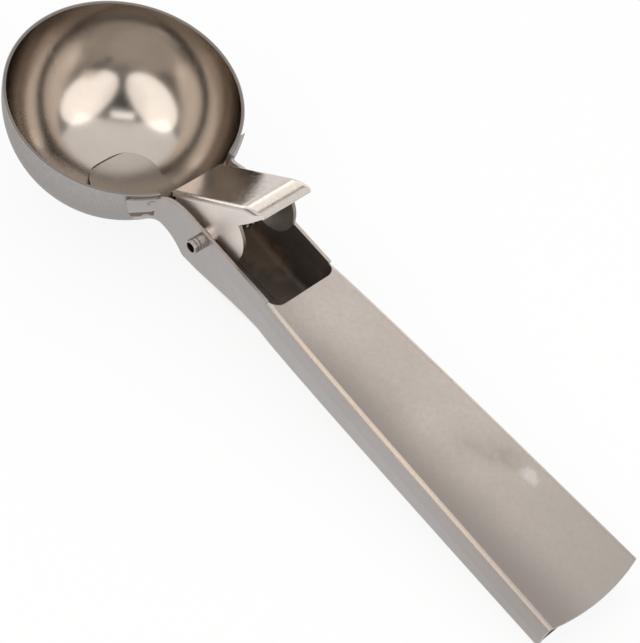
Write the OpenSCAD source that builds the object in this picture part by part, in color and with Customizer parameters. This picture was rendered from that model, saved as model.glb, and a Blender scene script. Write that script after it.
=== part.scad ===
// Lever ice cream scoop.
// Modelled about the centre of the bowl's rim, rim level, +X along the handle.
// place() then tips it into the pose in which it rests on a table, on the bowl
// and the handle's two rear corners, with the hinge axis at the origin along Y.

/* [Bowl] */
// Outside radius at the rim
bowl_r = 30; // [26:0.5:33]
// Thickness of the bowl's sheet
bowl_wall = 0.85; // [0.6:0.05:1.2]
// Height of the straight band under the rim
bowl_band = 1.2; // [0.5:0.1:3]
// Depth of the throat cut in the rear edge
throat_depth = 6; // [4:0.5:9]
// Radius of the throat's lower corners
throat_corner_r = 2.5; // [1:0.5:3.5]

/* [Handle] */
// Thickness of the handle's sheet
sheet = 0.85; // [0.6:0.05:1.2]
// Outside width between the hinge and the bowl
neck_w = 21.2; // [19:0.2:26]
// Outside width at the rear end
tail_w = 30.2; // [26:0.2:36]
// Distance from the bowl's rear edge to the handle's rear corners
handle_len = 135.4; // [110:0.2:160]
// How far the rounded rear edge bulges past its corners
tail_bulge = 2.1; // [1:0.1:5]
// Height of the walls' upper edges above the rim
wall_top = 2.1; // [1:0.1:4]
// Upward slope of the top plate
top_slope = 2.72; // [1:0.1:4]
// Upward slope of the underside
under_slope = 4.72; // [3:0.1:6]
// Depth of the underside below the rim, at the hinge
under_depth = 14.4; // [12:0.2:17]
// Outside radius of the folds beside the top plate
fold_r = 1.8; // [1.2:0.1:2.6]
// Outside radius of the folds at the underside
under_fold_r = 2.5; // [1.5:0.1:3.5]
// Depth of the crease along the wall, below the top plate
crease_depth = 5.4; // [4:0.1:7]
// Lean of the wall inwards below its crease
crease_lean = 8; // [4:1:12]
// Gap where the two lower flanges meet
seam_gap = 0.15; // [0.1:0.05:1]
// Radius of the bend from wall to bowl
arm_bend_r = 3; // [2:0.1:4]
// How far the arms reach forward of the bowl's rear edge
arm_lap = 5.7; // [3.5:0.1:7]

/* [Thumb opening] */
// Distance of its rear edge from the bowl's rear edge
opening_back = 38.5; // [37:0.5:48]
// Radius of its rear corners
opening_corner_r = 2.75; // [1.5:0.25:4]

/* [Hinge] */
// Distance of the hinge axis from the bowl's rear edge
hinge_back = 13.3; // [12.5:0.1:14.5]
// Height of the hinge axis from the rim, negative below
hinge_z = -0.3; // [-1:0.1:0.5]
// Outside diameter of the tube
tube_d = 3.7; // [3.2:0.1:4.2]
// Bore of the tube
tube_bore = 2.7; // [2:0.1:3]
// How far each end of the tube stands out of the wall
tube_out = 4; // [2:0.5:6]
// Depth of the ring groove round each end
tube_groove = 0.15; // [0.05:0.05:0.2]
// Radial running clearance of the lever on the tube
hinge_fit = 0.06; // [0.03:0.01:0.1]

/* [Lever] */
// Thickness of the lever's sheet
lever_sheet = 0.9; // [0.7:0.05:1.2]
// Outside width across the cheeks
lever_w = 16.9; // [16:0.1:17.6]
// How far the plate's front edge reaches forward of the bowl's rear edge
lever_inset = 1.5; // [1:0.1:2]
// Slope of the plate
lever_slope = 42.4; // [38:0.2:46]
// Length of the straight part of the plate
lever_run = 26.4; // [24:0.2:29]
// Radius of the curl that ends in the thumb pad
curl_r = 17.4; // [14:0.2:22]
// Angle that the curl turns through
curl_turn = 26.4; // [15:0.2:32]
// Length of the pad's rear corners, along the pad
pad_corner_run = 3.8; // [2:0.2:6]
// Width that each rear corner takes off the pad
pad_corner_in = 1.2; // [0.6:0.1:3]
// Radius of the cheeks' round lobes
lobe_r = 9.1; // [8.4:0.1:9.6]
// Outside radius of the folds between plate and cheeks
lever_fold_r = 1.4; // [1:0.1:2]

/* [Ejector blade] */
// Thickness of the blade
blade_sheet = 0.8; // [0.6:0.05:1]
// Gap between blade and bowl
blade_gap = 0.4; // [0.3:0.05:1]
// Width of the strip
blade_w = 13; // [10:0.2:14]
// Diameter of the paddle
paddle_d = 18; // [15:0.5:22]
// Distance of the paddle's centre from the bowl's centre
paddle_x = 6.6; // [3:0.2:9]
// Radius of the flare from strip to paddle
flare_r = 40; // [20:1:60]
// Length of the lap under the lever's plate
lap = 7; // [4:0.5:10]

/* [Spring] */
// Diameter of the wire
wire_d = 1; // [0.8:0.1:1.1]
// Number of whole turns
turns = 5; // [3:1:6]
// Distance from turn to turn
pitch = 1.9; // [1.6:0.1:2]
// Gap between tube and coil
coil_gap = 0.5; // [0.3:0.1:0.8]

/* [Hidden] */
$fn = 96;

// Places along the handle, from the bowl's centre
hinge_x = bowl_r + hinge_back;
opening_end = bowl_r + opening_back;
handle_reach = bowl_r + handle_len;
arm_front = bowl_r - arm_lap;
lever_front = bowl_r - lever_inset;

// Heights and widths along the handle
function top_z(x) = wall_top + max(0, x - opening_end) * tan(top_slope);
function under_z(x) = (x - hinge_x) * tan(under_slope) - under_depth;
function half_w(x) = neck_w / 2 + (tail_w - neck_w) / 2 * pow(taper_share(x), taper_bow);
function taper_share(x) = max(0, x - taper_start) / (handle_reach - taper_start);
function lean(x) = crease_lean * min(1, max(0, x - hinge_x) / crease_fade);

// Where the walls start to spread, and how strongly the spread eases off
taper_start = opening_end - opening_corner_r;
taper_bow = 0.72;
// Length over which the crease fades in behind the hinge
crease_fade = 16;
// Straight steps in each fold of the handle
fold_steps = 5;

// The bowl is a half ball under its band
ball_z = -bowl_band;
bowl_in_r = bowl_r - bowl_wall;
// Width of the throat, clear of the handle's walls
throat_w = neck_w + 1.2;

// Bend from each wall to its arm: it rolls between the wall and the bowl
bend_y = neck_w / 2 + arm_bend_r;
bend_s = sqrt(pow(bowl_r + sheet + arm_bend_r, 2) - bend_y * bend_y);
// Radius out to which the round part of the arms reaches, and where the straight walls take over
arm_disc_r = bend_s + 5;
wall_start = bend_s + 2;
// Angle from the handle beyond which no arm reaches
arm_reach_a = 49;
// Upper edge of the arms, and the stretch where it climbs to the walls' height
arm_top = -0.75;
climb_start = bowl_r - 2;
climb_end = bowl_r + 7;
// Round cut under the neck
neck_cut_r = 10.8;
neck_cut_x = bowl_r + 1.2;
neck_cut_top = -10.05;
// Spot welds on each arm: angle from the handle and height
welds = [[26.1, -2.2], [26.6, -8.6]];
weld_r = 2;
weld_depth = 0.3;

// Rear edge of the handle in plan
tail_r = (pow(tail_w / 2, 2) + pow(tail_bulge, 2)) / (2 * tail_bulge);

// Resting tilt: the table touches the ball and the rear corners
rest_span = norm([handle_reach, under_z(handle_reach) - ball_z]);
rest_tilt = asin(bowl_r / rest_span) + atan2(under_z(handle_reach) - ball_z, handle_reach);

// Hinge
tube_r = tube_d / 2;
tube_len = neck_w + 2 * tube_out;
// Side play between the lever's collars and the handle's walls
side_play = 0.1;
collar_wall = 0.8;

// Lever in side view: front edge, end of the straight, centre of the curl, centre of the lobe
lever_front_z = -0.3;
plate_dir = [cos(lever_slope), sin(lever_slope)];
plate_up = [-sin(lever_slope), cos(lever_slope)];
plate_start = [lever_front, lever_front_z];
plate_end = plate_start + lever_run * plate_dir;
curl_centre = plate_end - curl_r * plate_up;
curl_a0 = 90 + lever_slope;
curl_a1 = curl_a0 - curl_turn;
lobe_centre = [hinge_x + 1.2, hinge_z + 5.3];
// Lower front corner of the cheeks and where their lower edge meets the lobe
cheek_toe = plate_start + [2.3, -0.9];
toe_gap = lobe_centre - cheek_toe;
toe_angle = atan2(toe_gap[1], toe_gap[0]) - asin(lobe_r / norm(toe_gap));
toe_run = sqrt(pow(norm(toe_gap), 2) - lobe_r * lobe_r);
lobe_touch = cheek_toe + toe_run * [cos(toe_angle), sin(toe_angle)];
// Notch between the pad and the lobe
notch_angle = 54;
// Depth of the plate's side edges where no cheek hangs from them
plate_edge = lever_sheet + 0.15;
notch = lobe_centre + lobe_r * [cos(notch_angle), sin(notch_angle)];

// Ejector blade
blade_out_r = bowl_in_r - blade_gap;
blade_in_r = blade_out_r - blade_sheet;
flare_y = blade_w / 2 + flare_r;
flare_dx = sqrt(pow(flare_r + paddle_d / 2, 2) - flare_y * flare_y);
// How far the lap reaches ahead of the plate's front edge
lap_nose = 1.3;

// Spring
coil_r = tube_r + coil_gap + wire_d / 2;
wire_sides = 8;
rings_per_turn = 16;
// Angles round the hinge at which the two legs leave the coil
lever_leg_a = 168.5;
floor_leg_a = 213.4;
leg_gap = 0.1;

// Side view, extruded to width w about the middle plane
module side(w) { rotate([90, 0, 0]) linear_extrude(w, center = true) children(); }

// Resting pose with the hinge axis at the origin
module place() { rotate([0, rest_tilt, 0]) translate([-hinge_x, 0, -hinge_z]) children(); }

// Frame of the lever's plate: X up the slope, Z out of the plate's upper face
module on_plate() { translate([lever_front, 0, lever_front_z]) rotate([0, -lever_slope, 0]) children(); }

function arc(c, r, a0, a1, n) = [for (i = [0:n]) let (a = a0 + (a1 - a0) * i / n) c + r * [cos(a), sin(a)]];

// ---------------------------------------------------------------- bowl
module cup_half(r, top) {
    translate([0, ball_z]) intersection() {
        circle(r);
        translate([0, -bowl_r]) square([bowl_r, bowl_r]);
    }
    translate([0, ball_z]) square([r, bowl_band + top]);
}

module throat() {
    low = throat_corner_r - throat_depth;
    rotate([90, 0, 90]) linear_extrude(2 * bowl_r) {
        translate([-throat_w / 2, low]) square([throat_w, throat_depth]);
        translate([throat_corner_r - throat_w / 2, -throat_depth])
            square([throat_w - 2 * throat_corner_r, throat_depth]);
        for (s = [-1, 1])
            translate([s * (throat_w / 2 - throat_corner_r), low]) circle(throat_corner_r);
    }
}

module bowl() {
    color([0.78, 0.76, 0.74]) place() difference() {
        rotate(180) rotate_extrude() difference() {
            cup_half(bowl_r, 0);
            cup_half(bowl_in_r, 1);
        }
        throat();
    }
}

// -------------------------------------------------------------- handle
// Half of the handle's cross-section at x, d inside its outer face, from the underside up
function half_section(x, d, folded) = let (
    w = half_w(x), zt = top_z(x), zb = under_z(x), r = under_fold_r, zc = zt - crease_depth,
    inset = (zc - zb - r) * tan(lean(x)))
    concat(arc([w - inset - r, zb + r], r - d, -90, -lean(x), fold_steps), [[w - d, zc]],
        folded ? arc([w - fold_r, zt - fold_r], fold_r - d, 0, 90, fold_steps)
               : [[w - d, zt + (d > 0 ? 10 : 1)]]);

function full_section(x, d, folded) = let (h = half_section(x, d, folded), n = len(h) - 1)
    concat([for (p = h) [x, p[0], p[1]]], [for (i = [n:-1:0]) [x, -h[i][0], h[i][1]]]);

// Skin through the sections at each x of xs
module loft(xs, d, folded) {
    rings = [for (x = xs) full_section(x, d, folded)];
    n = len(rings[0]);
    m = len(rings);
    skin = [for (i = [0:m - 2]) for (j = [0:n - 1]) let (k = (j + 1) % n)
        each [[i * n + j, (i + 1) * n + j, (i + 1) * n + k], [i * n + j, (i + 1) * n + k, i * n + k]]];
    far = (m - 1) * n;
    caps = [for (j = [0:n / 2 - 2]) let (k = n - 1 - j)
        each [[j, j + 1, k - 1], [j, k - 1, k], [far + j, far + k - 1, far + j + 1], [far + j, far + k, far + k - 1]]];
    polyhedron([for (r = rings) each r], concat(skin, caps), convexity = 6);
}

function steps(a, b, n, bow) = [for (i = [0:n]) a + (b - a) * pow(i / n, bow)];

// Side view of arms and neck
module neck_side() {
    climb = [for (i = [0:12]) [climb_start + (climb_end - climb_start) * i / 12,
        arm_top + (wall_top - arm_top) * sin(90 * i / 12)]];
    front_low = arm_front + 1;
    under_cut = arc([neck_cut_x, neck_cut_top - neck_cut_r], neck_cut_r, 0,
        acos((front_low - neck_cut_x) / neck_cut_r), 16);
    polygon(concat([[arm_front, arm_top]], climb, [[taper_start + 1, wall_top],
        [taper_start + 1, -bowl_r], [neck_cut_x + neck_cut_r, -bowl_r]], under_cut));
}

// Both arms: wall, bend and the patch that lies on the bowl, as rings about the axis along Y
module arm_ring() {
    for (s = [-1, 1]) translate([0, 0, ball_z]) rotate([90 * s, 0, 0]) rotate(-60) rotate_extrude(angle = 120) {
        translate([bend_s, neck_w / 2 - sheet]) square([arm_disc_r - bend_s, sheet]);
        intersection() {
            translate([bend_s, bend_y]) difference() {
                circle(arm_bend_r + sheet);
                circle(arm_bend_r);
            }
            polygon([[bend_s, bend_y], [0, 0], [bend_s, 0]]);
        }
        intersection() {
            difference() {
                circle(bowl_r + sheet);
                circle(bowl_r);
            }
            polygon([[0, 0], 2 * [bend_s, bend_y], 2 * bowl_r * [cos(arm_reach_a), sin(arm_reach_a)]]);
        }
    }
}

module weld_dimples() {
    reach = bowl_r + sheet + weld_r - weld_depth;
    for (s = [-1, 1]) for (p = welds) let (drop = p[1] - ball_z, flat_r = sqrt(reach * reach - drop * drop))
        translate([flat_r * cos(p[0]), s * flat_r * sin(p[0]), ball_z + drop]) sphere(weld_r, $fn = 32);
}

module opening_cut() {
    inner = neck_w / 2 - sheet;
    translate([0, 0, wall_top - fold_r - 2]) linear_extrude(tail_w) {
        translate([wall_start, -inner]) square([taper_start - wall_start, 2 * inner]);
        translate([taper_start - 1, opening_corner_r - inner])
            square([opening_corner_r + 1, 2 * (inner - opening_corner_r)]);
        for (s = [-1, 1]) translate([taper_start, s * (inner - opening_corner_r)]) circle(opening_corner_r);
    }
}

module handle() {
    beyond = handle_reach + 3 * tail_bulge;
    neck_xs = steps(wall_start, taper_start, 6, 1);
    tail_xs = steps(taper_start, beyond, 8, 1.5);
    color([0.72, 0.67, 0.62]) place() difference() {
        union() {
            intersection() {
                union() {
                    difference() {
                        loft(neck_xs, 0, false);
                        loft(concat([wall_start - 1], neck_xs, [taper_start + 1]), sheet, false);
                    }
                    arm_ring();
                }
                side(2 * tail_w) neck_side();
            }
            intersection() {
                difference() {
                    loft(tail_xs, 0, true);
                    loft(concat([taper_start - 1], tail_xs, [beyond + 1]), sheet, true);
                    opening_cut();
                }
                translate([handle_reach + tail_bulge - tail_r, 0, -bowl_r]) {
                    cylinder(h = 2 * bowl_r, r = tail_r, $fn = 200);
                    translate([-handle_reach, -tail_r, 0]) cube([handle_reach, 2 * tail_r, 2 * bowl_r]);
                }
            }
        }
        // seam between the lower flanges
        translate([hinge_x, 0, -under_depth]) rotate([0, -under_slope, 0])
            translate([arm_front - hinge_x, -seam_gap / 2, -sheet]) cube([handle_reach, seam_gap, 3 * sheet]);
        // the lower flanges end square
        translate([handle_reach, -tail_w, -bowl_r])
            cube([4 * tail_bulge, 2 * tail_w, bowl_r + under_z(handle_reach) + under_fold_r]);
        weld_dimples();
        translate([hinge_x, 0, hinge_z]) rotate([90, 0, 0]) cylinder(h = 2 * tail_w, r = tube_r, center = true);
    }
}

// --------------------------------------------------------------- lever
// Cross-section of plate and cheeks: X outwards from the plate, its outer face at 0
module channel(w, r, leg) {
    translate([-leg, -w / 2]) square([leg - r, w]);
    translate([-leg, r - w / 2]) square([leg, w - 2 * r]);
    for (s = [-1, 1]) translate([-r, s * (w / 2 - r)]) circle(r);
}

module channel_sheet(leg) {
    difference() {
        channel(lever_w, lever_fold_r, leg);
        translate([-lever_sheet, 0]) channel(lever_w - 2 * lever_sheet, lever_fold_r - lever_sheet, leg);
    }
}

// The channel, straight and then curled, before its cheeks are cut to shape
module lever_channel() {
    on_plate() {
        rotate([180, -90, 0]) linear_extrude(lever_run) channel_sheet(2.2 * lobe_r);
        translate([lever_run, 0, -curl_r]) rotate([-90, -90, 0])
            rotate_extrude(angle = curl_turn) translate([curl_r, 0]) channel_sheet(curl_r / 2);
    }
}

module lever_outline() {
    edge_r = curl_r - plate_edge;
    over = plate_start + [-1, 3 * lobe_r];
    polygon(concat([cheek_toe, plate_start + 1.2 * plate_dir - plate_edge * plate_up,
        plate_start - plate_dir - plate_edge * plate_up, over, over + [2 * lever_run, 0]],
        arc(curl_centre, edge_r, curl_a1 - 10, curl_a1 + 2, 4), [notch, lobe_centre, lobe_touch]));
    translate(lobe_centre) circle(lobe_r);
}

// What the pad's rear corners lose, seen square to the pad
module pad_corners() {
    edge = [for (i = [-1:6]) let (t = i / 5)
        [pad_corner_run * (t - 1), lever_w / 2 - pad_corner_in * t * (1 + 0.5 * (t - 1))]];
    on_plate() translate([lever_run, 0, -curl_r]) rotate([0, curl_turn, 0]) translate([0, 0, curl_r])
        for (s = [0, 1]) mirror([0, s, 0]) translate([0, 0, -lobe_r]) linear_extrude(2 * lobe_r)
            polygon(concat(edge, [[edge[7][0], lever_w], [edge[0][0], lever_w]]));
}

module thumb_lever() {
    collar_reach = neck_w - 2 * sheet - 2 * side_play;
    collar_root = (lever_w - lever_sheet) / 2;
    color([0.84, 0.80, 0.76]) place() difference() {
        union() {
            intersection() {
                lever_channel();
                side(2 * lever_w) lever_outline();
            }
            for (s = [-1, 1]) translate([hinge_x, s * collar_root, hinge_z]) rotate([-90 * s, 0, 0])
                cylinder(h = collar_reach / 2 - collar_root, r = tube_r + hinge_fit + collar_wall);
        }
        pad_corners();
        translate([hinge_x, 0, hinge_z]) rotate([90, 0, 0])
            cylinder(h = 2 * lever_w, r = tube_r + hinge_fit, center = true);
    }
}

// ------------------------------------------------------- ejector blade
module blade_plan() {
    touch = atan2(flare_y, flare_dx);
    flare = [for (p = arc([paddle_x + flare_dx, flare_y], flare_r, 270, 180 + touch, 10)) p];
    half = concat([[paddle_x + bowl_r, blade_w / 2]], [for (i = [0:9]) flare[i]]);
    polygon(concat(half, arc([paddle_x, 0], paddle_d / 2, touch, 360 - touch, 72),
        [for (i = [10:-1:0]) [half[i][0], -half[i][1]]]));
}

module ejector_blade() {
    under = lever_sheet + blade_sheet;
    color([0.66, 0.62, 0.58]) place() {
        intersection() {
            translate([0, 0, ball_z]) difference() {
                sphere(blade_out_r);
                sphere(blade_in_r);
            }
            translate([0, 0, -2 * bowl_r]) linear_extrude(2 * bowl_r) blade_plan();
            on_plate() translate([-2 * bowl_r, -bowl_r, -3 * bowl_r - lever_sheet - blade_sheet / 2])
                cube([4 * bowl_r, 2 * bowl_r, 3 * bowl_r]);
        }
        on_plate() translate([-lap_nose, -blade_w / 2, -under]) cube([lap_nose + lap, blade_w, blade_sheet]);
    }
}

// ---------------------------------------------------------- pivot tube
module ring_groove() {
    rotate_extrude() translate([tube_r - tube_groove, 0]) square([1, 0.3]);
}

module pivot_tube() {
    color([0.5, 0.47, 0.44]) place() translate([hinge_x, 0, hinge_z]) rotate([90, 0, 0]) difference() {
        cylinder(h = tube_len, r = tube_r, center = true);
        cylinder(h = tube_len + 1, r = tube_bore / 2, center = true);
        for (s = [-1, 1]) translate([0, 0, s * (neck_w / 2 + tube_out / 2) - 0.15]) ring_groove();
    }
}

// -------------------------------------------------------------- spring
// Centre line: a leg under the lever's plate, the coil, and a leg down to the handle's floor
coil_turn = 360 * turns + floor_leg_a - lever_leg_a;
coil_len = pitch * coil_turn / 360;
coil = [for (i = [0:rings_per_turn * turns + 2]) let (f = i / (rings_per_turn * turns + 2),
    a = lever_leg_a + coil_turn * f)
    [hinge_x + coil_r * cos(a), coil_len * (0.5 - f), hinge_z + coil_r * sin(a)]];
coil_from = coil[0];
coil_to = coil[len(coil) - 1];
lever_leg_dir = [sin(lever_leg_a), 0, -cos(lever_leg_a)];
floor_leg_dir = [-sin(floor_leg_a), 0, cos(floor_leg_a)];
// Lengths at which the legs come within leg_gap of the plate and of the floor
plate_n = [plate_up[0], 0, plate_up[1]];
plate_p = [lever_front, 0, lever_front_z];
lever_leg = ((plate_p - coil_from) * plate_n - lever_sheet - wire_d / 2 - leg_gap) / (lever_leg_dir * plate_n);
floor_n = [-sin(under_slope), 0, cos(under_slope)];
floor_p = [hinge_x, 0, -under_depth];
floor_leg = ((floor_p - coil_to) * floor_n + sheet + wire_d / 2 + leg_gap) / (floor_leg_dir * floor_n);
wire = concat([coil_from + lever_leg * lever_leg_dir], coil, [coil_to + floor_leg * floor_leg_dir]);

function unit(v) = v / norm(v);
function tangent(p, i) = unit(p[min(i + 1, len(p) - 1)] - p[max(i - 1, 0)]);

module tube_along(p, r, n) {
    m = len(p);
    pts = [for (i = [0:m - 1]) let (t = tangent(p, i), u = unit(cross(t, [0, 1, 0])), v = cross(t, u))
        for (j = [0:n - 1]) p[i] + r * (cos(360 * j / n) * u + sin(360 * j / n) * v)];
    skin = [for (i = [0:m - 2]) for (j = [0:n - 1]) let (k = (j + 1) % n)
        each [[i * n + j, (i + 1) * n + j, (i + 1) * n + k], [i * n + j, (i + 1) * n + k, i * n + k]]];
    caps = [[for (j = [0:n - 1]) j], [for (j = [n - 1:-1:0]) (m - 1) * n + j]];
    polyhedron(pts, concat(skin, caps), convexity = 10);
}

module return_spring() {
    color([0.45, 0.44, 0.43]) place() tube_along(wire, wire_d / 2, wire_sides);
}

// Least gap of the wire to itself, on points at least half a turn apart
spring_gap = min([for (i = [0:len(coil) - 1]) for (j = [i + rings_per_turn / 2:1:len(coil) - 1])
    norm(coil[i] - coil[j])]) - wire_d;
echo(spring_gap = spring_gap);
echo(rest_tilt = rest_tilt);

bowl();
handle();
thumb_lever();
ejector_blade();
pivot_tube();
return_spring();
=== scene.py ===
"""Lever ice cream scoop: looks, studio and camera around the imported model."""

import math

import bpy
from mathutils import Matrix, Vector

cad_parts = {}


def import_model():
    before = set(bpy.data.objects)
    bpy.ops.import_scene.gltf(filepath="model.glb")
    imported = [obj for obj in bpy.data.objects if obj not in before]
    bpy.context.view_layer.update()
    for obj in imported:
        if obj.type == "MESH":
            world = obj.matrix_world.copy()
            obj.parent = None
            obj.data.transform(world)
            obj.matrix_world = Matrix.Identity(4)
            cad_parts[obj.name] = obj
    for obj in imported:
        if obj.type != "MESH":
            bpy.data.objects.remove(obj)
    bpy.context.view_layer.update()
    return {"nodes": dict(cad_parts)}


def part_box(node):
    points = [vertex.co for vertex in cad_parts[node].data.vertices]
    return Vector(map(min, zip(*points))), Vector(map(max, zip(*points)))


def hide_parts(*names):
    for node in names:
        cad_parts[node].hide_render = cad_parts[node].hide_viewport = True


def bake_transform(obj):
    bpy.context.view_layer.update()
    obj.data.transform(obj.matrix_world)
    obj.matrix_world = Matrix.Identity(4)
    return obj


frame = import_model()
nodes = frame["nodes"]

MM = 0.001
# The hinge axis from the rim's centre, rim level, and how far the scoop tips to rest on a table
HINGE_X, HINGE_Z = 43.3 * MM, -0.3 * MM
TILT = Matrix.Rotation(math.radians(9.36799), 3, "Y")
RIM_UP = TILT @ Vector((0, 0, 1))
FLOOR_Z = min(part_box("bowl")[0].z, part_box("handle")[0].z)
TUBE_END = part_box("pivot_tube")[1].y
# Bowl: outside radius, and height of the straight band under the rim in millimetres
BOWL_R = 30 * MM
BAND = 1.2
# Handle: rear end of the thumb opening, half the top plate's width at the hinge and its growth towards the rear,
# and the level between the inside's roof and floor at the hinge with its fall towards the rear
OPENING_END = 24.7 * MM
PLATE_HALF, PLATE_FLARE = 10.0 * MM, 0.0425
INSIDE_MIDDLE, INSIDE_FALL = -7.5 * MM, 0.1
# Lever: centre of its round lobes in millimetres, and where the ring of their cut edge begins and ends
LOBE = (44.5, 0, 5)
LOBE_RING = (8.8 * MM, 9.5 * MM)


def placed(x, y, z):
    """A point in millimetres from the rim's centre, rim level, as it lies at rest."""
    return TILT @ (Vector((x, y, z)) * MM - Vector((HINGE_X, 0, HINGE_Z)))


def add(name, data):
    made = bpy.data.objects.new(name, data)
    bpy.context.scene.collection.objects.link(made)
    return made


# -------------------------------------------------------------------- nodes
class Tree:
    """A node tree, with short calls for the nodes that it is built from."""

    def __init__(self, tree):
        self.tree = tree

    def new(self, kind, **values):
        node = self.tree.nodes.new(kind)
        for key, value in values.items():
            setattr(node, key, value)
        return node

    def link(self, source, target):
        self.tree.links.new(source, target)

    def give(self, socket, value):
        if isinstance(value, (int, float)):
            socket.default_value = value
        elif isinstance(value, tuple):
            socket.default_value = (*value, 1)
        else:
            self.link(value, socket)

    def split(self, vector):
        node = self.new("ShaderNodeSeparateXYZ")
        self.link(vector, node.inputs[0])
        return node.outputs

    def compare(self, kind, vector, other):
        """One number from a vector and a fixed one, such as their distance."""
        node = self.new("ShaderNodeVectorMath", operation=kind)
        self.link(vector, node.inputs[0])
        node.inputs[1].default_value = other
        return node.outputs["Value"]

    def remap(self, source, low, high, to_low, to_high):
        node = self.new("ShaderNodeMapRange", clamp=True, interpolation_type="SMOOTHSTEP")
        for key, value in zip(("From Min", "From Max", "To Min", "To Max"), (low, high, to_low, to_high)):
            node.inputs[key].default_value = value
        self.link(source, node.inputs["Value"])
        return node.outputs["Result"]

    def rising(self, source, low, high, top=1.0):
        return self.remap(source, low, high, 0.0, top)

    def falling(self, source, low, high, top=1.0):
        return self.remap(source, low, high, top, 0.0)

    def math(self, kind, first, *others):
        """One number from the values, taken in turn."""
        for other in others or (0.0,):
            node = self.new("ShaderNodeMath", operation=kind)
            self.give(node.inputs[0], first)
            self.give(node.inputs[1], other)
            first = node.outputs[0]
        return first

    def product(self, *values):
        return self.math("MULTIPLY", *values)

    def rest(self, share):
        return self.math("SUBTRACT", 1.0, share)

    def off(self, source, middle):
        """How far a value is from a fixed one, to either side."""
        return self.math("ABSOLUTE", self.math("SUBTRACT", source, middle))

    def show(self, share, pale, usual, output):
        """Puts a pale surface over the usual one, for the camera and in metal and glass alone."""
        ray = self.new("ShaderNodeLightPath").outputs
        seen = self.math("MAXIMUM", ray["Is Camera Ray"], ray["Is Glossy Ray"], ray["Is Transmission Ray"])
        both = self.new("ShaderNodeMixShader")
        self.link(self.product(seen, share), both.inputs[0])
        self.link(usual.outputs[0], both.inputs[1])
        self.link(pale.outputs[0], both.inputs[2])
        self.link(both.outputs[0], self.tree.nodes[output].inputs["Surface"])


class Surface(Tree):
    """A material's nodes, with the place and the normal of the point that is shaded."""

    def __init__(self, name):
        self.material = bpy.data.materials.new(name)
        self.material.use_nodes = True
        super().__init__(self.material.node_tree)
        self.shader = self.tree.nodes["Principled BSDF"]
        coordinates = self.new("ShaderNodeTexCoord")
        self.place = coordinates.outputs["Object"]
        self.x, self.y, self.z = self.split(self.place)
        self.nx, self.ny, self.nz = self.split(coordinates.outputs["Normal"])

    def scaled(self, x, y, z):
        mapping = self.new("ShaderNodeMapping")
        mapping.inputs["Scale"].default_value = (x, y, z)
        self.link(self.place, mapping.inputs["Vector"])
        return mapping.outputs["Vector"]

    def noise(self, scale, detail, rough=0.55):
        node = self.new("ShaderNodeTexNoise")
        for key, value in (("Scale", 1.0), ("Detail", detail), ("Roughness", rough)):
            node.inputs[key].default_value = value
        self.link(self.scaled(*scale), node.inputs["Vector"])
        return node.outputs["Fac"]

    def distance(self, centre):
        return self.compare("DISTANCE", self.place, centre)

    def height(self, base, axis):
        """Distance from a plane through a point, along its axis."""
        return self.math("SUBTRACT", self.compare("DOT_PRODUCT", self.place, axis), base.dot(axis))

    def spot(self, centre, radius):
        """1 at a point of the object, falling to 0 at a distance from it."""
        return self.falling(self.distance(centre), 0.0, radius)

    def specks(self, scale, size, share):
        """Small round dots on a few of the cells of a pattern."""
        cells = self.new("ShaderNodeTexVoronoi")
        cells.inputs["Scale"].default_value = scale
        self.link(self.place, cells.inputs["Vector"])
        few = self.math("GREATER_THAN", self.split(cells.outputs["Color"])[0], 1 - share)
        return self.product(self.falling(cells.outputs["Distance"], size * 0.5, size), few)

    def mix(self, share, a, b):
        node = self.new("ShaderNodeMix", data_type="RGBA")
        self.give(node.inputs[0], share)
        self.give(node.inputs[6], a)
        self.give(node.inputs[7], b)
        return node.outputs[2]

    def tint(self, share, colour):
        self.shade = self.mix(share, self.shade, colour)

    def roughen(self, amount):
        self.rough = self.math("ADD", self.rough, amount)


# ---------------------------------------------------------------- materials
# Nearly all of a noise lies between these
NOISE = (0.3, 0.7)
FINE_GRAIN = (900, 900, 900)
TURNED_GRAIN = (400, 4000, 400)
SPECK = (0.12, 0.09, 0.07)
STAIN = (0.22, 0.19, 0.16)
# Stains on the handle's top: place and radius in millimetres, and strength
STAINS = (((127, 7, 5), 8.0, 0.4), ((131, 9, 5), 5.0, 0.45), ((121, 2, 4.7), 10.0, 0.35), ((98, -2, 3.6), 14.0, 0.3))
SMUDGE = (136.1, 9.0, 5.3)
# Dark rings around the tube, in millimetres from each end of the tube
RINGS = (0.9, 1.9)


def darker(colour, share):
    return tuple(c * (1 - share) for c in colour)


def steel(name, colour, rough, grain=FINE_GRAIN, depth=0.02, mottle=0.05, flecks=0.3, edge=0.15):
    """Stainless sheet: soft mottling, fine grain of a depth, and cut edges rounded by a radius, in millimetres."""
    n = Surface(name)
    n.shader.inputs["Metallic"].default_value = 1.0
    n.cloud = n.noise((45, 45, 45), 5.0, 0.6)
    fine = n.noise(grain, 3.0, 0.6)
    n.shade = n.mix(n.rising(n.cloud, *NOISE), darker(colour, 1.6 * mottle), darker(colour, -mottle))
    n.tint(n.rising(fine, *NOISE, flecks), darker(colour, 0.22))
    n.rough = n.remap(n.cloud, *NOISE, rough - 0.02, rough + 0.03)
    n.roughen(n.remap(fine, *NOISE, -0.07 * flecks, 0.1 * flecks))
    bump = n.new("ShaderNodeBump")
    bump.inputs["Strength"].default_value = 0.35
    bump.inputs["Distance"].default_value = depth * MM
    n.link(fine, bump.inputs["Height"])
    rounded = n.new("ShaderNodeBevel", samples=6)
    rounded.inputs["Radius"].default_value = edge * MM
    n.link(rounded.outputs["Normal"], bump.inputs["Normal"])
    n.link(bump.outputs["Normal"], n.shader.inputs["Normal"])
    return n


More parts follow.
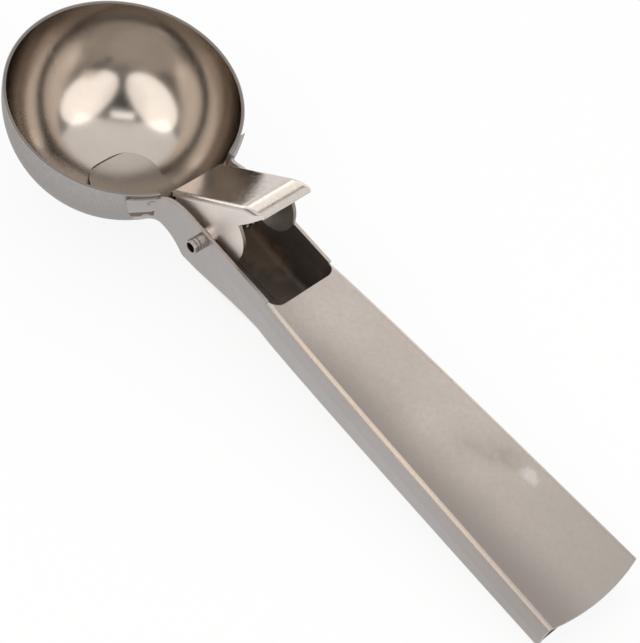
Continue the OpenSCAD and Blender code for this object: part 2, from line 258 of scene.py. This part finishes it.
def bowl_metal():
    n = steel("bowl_metal", (0.53, 0.475, 0.425), 0.16, depth=0.004, mottle=0.04, flecks=0.03)
    n.shader.inputs["Specular Tint"].default_value = (0.70, 0.68, 0.66, 1)
    inside = n.falling(n.distance(placed(0, 0, -BAND)), BOWL_R - 0.55 * MM, BOWL_R - 0.3 * MM)
    # Outside: neutral and duller, with short upright brush marks
    marks = n.rising(n.noise((2600, 2600, 330), 3.0, 0.65), 0.42, 0.62)
    n.shade = n.mix(inside, n.mix(marks, (0.375, 0.361, 0.356), (0.412, 0.397, 0.391)), n.shade)
    n.roughen(n.product(n.rest(inside), 0.26))
    # The cut rim's top face is darker, with only its outer corner bright
    centre = placed(0, 0, 0)
    top = n.rising(n.height(centre, RIM_UP), -0.10 * MM, -0.04 * MM)
    n.tint(n.product(top, n.falling(n.distance(centre), BOWL_R - 0.25 * MM, BOWL_R - 0.1 * MM)), (0.22, 0.195, 0.175))
    n.tint(n.product(n.specks(190, 0.10, 0.025), 0.5), SPECK)
    return n


def handle_painted_light(n):
    """Painted light and shade on the sheet's faces: a painted reflection on the walls, painted highlights on the
    folds and painted shade on the top plate.
    """
    lean = n.math("ABSOLUTE", n.ny)
    top = n.rising(n.nz, 0.9, 0.97)
    behind_opening = (OPENING_END, OPENING_END + 12 * MM)
    # Walls and arms are tinted a more neutral grey, on the walls a painted reflection of the pale floor, and the
    # folds beside the top plate a warmer painted highlight
    walls, arms = n.rising(lean, 0.75, 0.97), n.falling(n.x, -16 * MM, -8 * MM)
    n.tint(n.math("MAXIMUM", walls, arms), (0.40, 0.375, 0.36))
    # Painted highlight: a warmer tint on the folds beside the top plate, behind the thumb opening
    fold = n.product(n.rising(lean, 0.25, 0.5), n.rising(n.nz, 0.4, 0.6), n.rising(n.x, *behind_opening))
    n.tint(fold, (0.56, 0.475, 0.40))
    # A dark line of painted shade runs on the plate beside each fold
    plate_edge = n.math("ADD", n.product(n.x, PLATE_FLARE), PLATE_HALF)
    past_edge = n.math("SUBTRACT", n.math("ABSOLUTE", n.y), plate_edge)
    line = n.product(n.rising(past_edge, -1.5 * MM, -0.4 * MM), top, n.rising(n.x, *behind_opening, 0.6))
    n.tint(line, (0.17, 0.15, 0.135))
    # Painted shade: the top plate is darker towards its rear end and along its near fold, and paler by the thumb
    # opening
    n.tint(n.rising(n.x, 70 * MM, 125 * MM, 0.7), (0.345, 0.31, 0.285))
    near = n.falling(n.y, -13.5 * MM, 1 * MM)
    n.tint(n.product(near, top, n.remap(n.x, 26 * MM, 50 * MM, 0.6, 1.0), 0.9), (0.27, 0.238, 0.22))


def handle_marks(n):
    """Stains, a pale smudge and specks."""
    for centre, radius, strength in STAINS:
        n.tint(n.product(n.spot(placed(*centre), radius * MM), n.rising(n.cloud, 0.4, 0.62, strength)), STAIN)
    uneven = n.remap(n.noise((500, 500, 500), 3.0), *NOISE, -0.7 * MM, 0.7 * MM)
    from_smudge = n.math("ADD", n.distance(placed(*SMUDGE)), uneven)
    n.tint(n.falling(from_smudge, 0.8 * MM, 3.0 * MM, 0.6), (0.66, 0.64, 0.62))
    n.tint(n.product(n.math("MAXIMUM", n.specks(330, 0.10, 0.09), n.specks(120, 0.05, 0.12)), 0.55), SPECK)


def handle_inside(n):
    """Inside the folded sheet it is dull, with painted shade, and tan patches of painted reflection towards the
    front.
    """
    facing_middle = n.math("LESS_THAN", n.product(n.ny, n.y), -0.5 * MM)
    level = n.math("ADD", n.z, n.product(n.x, INSIDE_FALL))
    ground = n.product(n.math("LESS_THAN", level, INSIDE_MIDDLE), n.math("GREATER_THAN", n.nz, 0.3))
    roof = n.product(n.math("GREATER_THAN", level, INSIDE_MIDDLE), n.math("LESS_THAN", n.nz, -0.3))
    within = n.math("MAXIMUM", facing_middle, ground, roof)
    # Painted shade inside, with tan patches of painted reflection towards the front
    patches = n.product(n.rising(n.cloud, 0.48, 0.62, 0.7), n.remap(n.x, 0.0, 30 * MM, 1.0, 0.1))
    n.tint(within, n.mix(patches, (0.20, 0.168, 0.145), (0.46, 0.36, 0.27)))
    n.roughen(n.product(within, 0.34))


def handle_metal():
    n = steel("handle_metal", (0.53, 0.475, 0.43), 0.34, edge=0.25)
    handle_painted_light(n)
    handle_marks(n)
    handle_inside(n)
    return n


def lever_metal():
    n = steel("lever_metal", (0.64, 0.58, 0.53), 0.11, mottle=0.04, edge=0.2)
    cheek = n.rising(n.math("ABSOLUTE", n.ny), 0.5, 0.95)
    n.roughen(n.product(cheek, 0.32))
    # Painted light: the cheeks are tinted paler, a painted sheen on the lever's sides
    n.tint(n.product(cheek, 0.7), (0.80, 0.745, 0.70))
    # The round lobes' cut edges are left dull
    centre = placed(*LOBE)
    across, upward = n.math("SUBTRACT", n.x, centre.x), n.math("SUBTRACT", n.z, centre.z)
    out = n.math("SQRT", n.math("ADD", n.product(across, across), n.product(upward, upward)))
    begin, end = LOBE_RING
    ring = n.product(n.rising(out, begin, begin + 0.2 * MM), n.falling(out, end - 0.2 * MM, end))
    sheared = n.product(ring, n.rest(cheek), n.rising(n.nx, 0.0, 0.2))
    n.tint(sheared, (0.30, 0.25, 0.21))
    n.roughen(n.product(sheared, 0.3))
    # Fine scuffs across the plate
    n.roughen(n.rising(n.noise((260, 2600, 260), 2.0, 0.7), 0.55, 0.7, 0.035))
    return n


def blade_metal():
    return steel("blade_metal", (0.46, 0.41, 0.365), 0.25, depth=0.003, mottle=0.03, flecks=0.02, edge=0.08)


def tube_metal():
    n = steel("tube_metal", (0.42, 0.375, 0.35), 0.28, grain=TURNED_GRAIN)
    inward = n.math("SUBTRACT", TUBE_END, n.math("ABSOLUTE", n.y))
    for ring in RINGS:
        n.tint(n.falling(n.off(inward, ring * MM), 0.1 * MM, 0.3 * MM, 0.65), (0.10, 0.085, 0.075))
    return n


def spring_metal():
    return steel("spring_metal", (0.35, 0.33, 0.31), 0.30, edge=0.05)


def dress(node, n):
    n.link(n.shade, n.shader.inputs["Base Color"])
    n.link(n.rough, n.shader.inputs["Roughness"])
    for slot in nodes[node].material_slots:
        slot.material = n.material


def winding_spring():
    """Puts a copy of the return spring's mesh in its place and hides the imported one."""
    made = add("spring_wire", nodes["return_spring"].data.copy())
    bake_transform(made)
    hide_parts("return_spring")


dress("bowl", bowl_metal())
dress("handle", handle_metal())
dress("thumb_lever", lever_metal())
dress("ejector_blade", blade_metal())
dress("pivot_tube", tube_metal())
dress("return_spring", spring_metal())
winding_spring()


# ------------------------------------------------------------------- studio
WARM = (1.0, 0.97, 0.94)
FLOOR_HALF = 4.0
# The floor's share of white, and the strip below the handle that has none, a painted shadow: middle, then half sizes
# with soft ends
FLOOR_WHITE = 0.88
STRIP_X, STRIP_Y = 55 * MM, 4.5 * MM
STRIP_LENGTH, STRIP_WIDTH = (55 * MM, 65 * MM), (5 * MM, 9 * MM)
# The room's level, and its dark gap: level, direction, and cosines of the angles where it begins and is full
ROOM, GAP_LEVEL = 0.27, 0.0
GAP_AZIMUTH, GAP_ELEVATION = -42, 48
GAP_COSINES = (0.89, 0.955)
# A low pale backdrop in the room: colour, and sines of the elevations where it begins to fade and has gone
BACKDROP = (0.8, 0.8, 0.8)
BACKDROP_SINES = (0.16, 0.21)
LAMP_DISTANCE = 0.9


def floor():
    """Pale paper: it keeps the shadow, and shows white to the camera and in the metal."""
    mesh = bpy.data.meshes.new("studio_floor")
    h = FLOOR_HALF
    mesh.from_pydata([(-h, -h, 0), (h, -h, 0), (h, h, 0), (-h, h, 0)], [], [(0, 1, 2, 3)])
    made = add("studio_floor", mesh)
    made.location = (0, 0, FLOOR_Z)
    n = Surface("floor_paper")
    for key, value in (("Base Color", (0.9, 0.9, 0.9)), ("Roughness", 0.9), ("Specular IOR Level", 0.1)):
        n.give(n.shader.inputs[key], value)
    # Painted shadow: none of the white shows in a strip under the handle, so its seam stays dark
    strip = n.product(n.falling(n.off(n.y, STRIP_Y), *STRIP_WIDTH), n.falling(n.off(n.x, STRIP_X), *STRIP_LENGTH))
    white = n.new("ShaderNodeEmission")
    n.show(n.product(n.rest(strip), FLOOR_WHITE), white, n.shader, "Material Output")
    mesh.materials.append(n.material)


def toward(azimuth, elevation):
    a, e = math.radians(azimuth), math.radians(elevation)
    return Vector((math.cos(a) * math.cos(e), math.sin(a) * math.cos(e), math.sin(e)))


def world():
    """An even grey room, dark in the gap between the lights, with a low pale backdrop beyond the floor's edge."""
    made = bpy.data.worlds.new("studio")
    made.use_nodes = True
    n = Tree(made.node_tree)
    direction = n.new("ShaderNodeTexCoord").outputs["Generated"]
    gap = n.compare("DOT_PRODUCT", direction, toward(GAP_AZIMUTH, GAP_ELEVATION))
    room = n.tree.nodes["Background"]
    n.give(room.inputs["Color"], WARM)
    n.give(room.inputs["Strength"], n.remap(gap, *GAP_COSINES, ROOM, GAP_LEVEL))
    pale = n.new("ShaderNodeBackground")
    n.give(pale.inputs["Color"], BACKDROP)
    n.show(n.falling(n.split(direction)[2], *BACKDROP_SINES), pale, room, "World Output")
    bpy.context.scene.world = made


def softbox(name, azimuth, elevation, half_width, half_height, radiance, tint=(1, 1, 1), roll=0.0, shape="RECTANGLE"):
    """A soft light in a direction from the hinge, as wide and high as the angles it fills, all in degrees."""
    width, height = (2 * LAMP_DISTANCE * math.tan(math.radians(half)) for half in (half_width, half_height))
    fill = math.pi / 4 if shape == "ELLIPSE" else 1.0
    data = bpy.data.lights.new(name, "AREA")
    data.shape = shape
    data.size, data.size_y = width, height
    data.energy = radiance * math.pi * width * height * fill
    data.color = tint
    made = add(name, data)
    to = toward(azimuth, elevation)
    made.location = to * LAMP_DISTANCE
    made.rotation_mode = "QUATERNION"
    side = Vector((0, 0, 1)).cross(to).normalized()
    turned = Matrix.Rotation(math.radians(roll), 3, to) @ Matrix((side, to.cross(side), to)).transposed()
    made.rotation_quaternion = turned.to_quaternion()


floor()
world()
softbox("soft_right", 6, 36, 36, 20, 1.55, WARM, roll=8, shape="ELLIPSE")
softbox("soft_left", -83, 39, 35, 19, 1.55, WARM, roll=-18, shape="ELLIPSE")
softbox("soft_strip", -44, 64, 12, 3.5, 2.1)
softbox("soft_top", 138, 70, 52, 40, 0.78)
softbox("soft_back", 138, 16, 50, 11, 1.1, WARM)


# ------------------------------------------------------------------- camera
# Solved from the photograph with the rim level: place, view and up directions, focal length in pixels
PHOTO_HEIGHT_PX = 643
FOCAL_PX = 1887.253
EYE_MM = (191.42326, -223.62769, 366.72444)
LOOK = (-0.25948624, 0.49980432, -0.82635497)
UPWARDS = (-0.71816832, 0.47221466, 0.51112384)
SENSOR_MM = 36.0


def camera():
    data = bpy.data.cameras.new("camera")
    data.sensor_width = SENSOR_MM
    data.lens = SENSOR_MM * FOCAL_PX / PHOTO_HEIGHT_PX
    data.clip_start, data.clip_end = 0.01, 50
    made = add("camera", data)
    back = -(TILT @ Vector(LOOK)).normalized()
    up = (TILT @ Vector(UPWARDS)).normalized()
    right = up.cross(back).normalized()
    turn = Matrix((right, back.cross(right), back)).transposed()
    made.matrix_world = Matrix.Translation(placed(*EYE_MM)) @ turn.to_4x4()
    bpy.context.scene.camera = made


camera()
bpy.context.scene.view_settings.view_transform = "Standard"
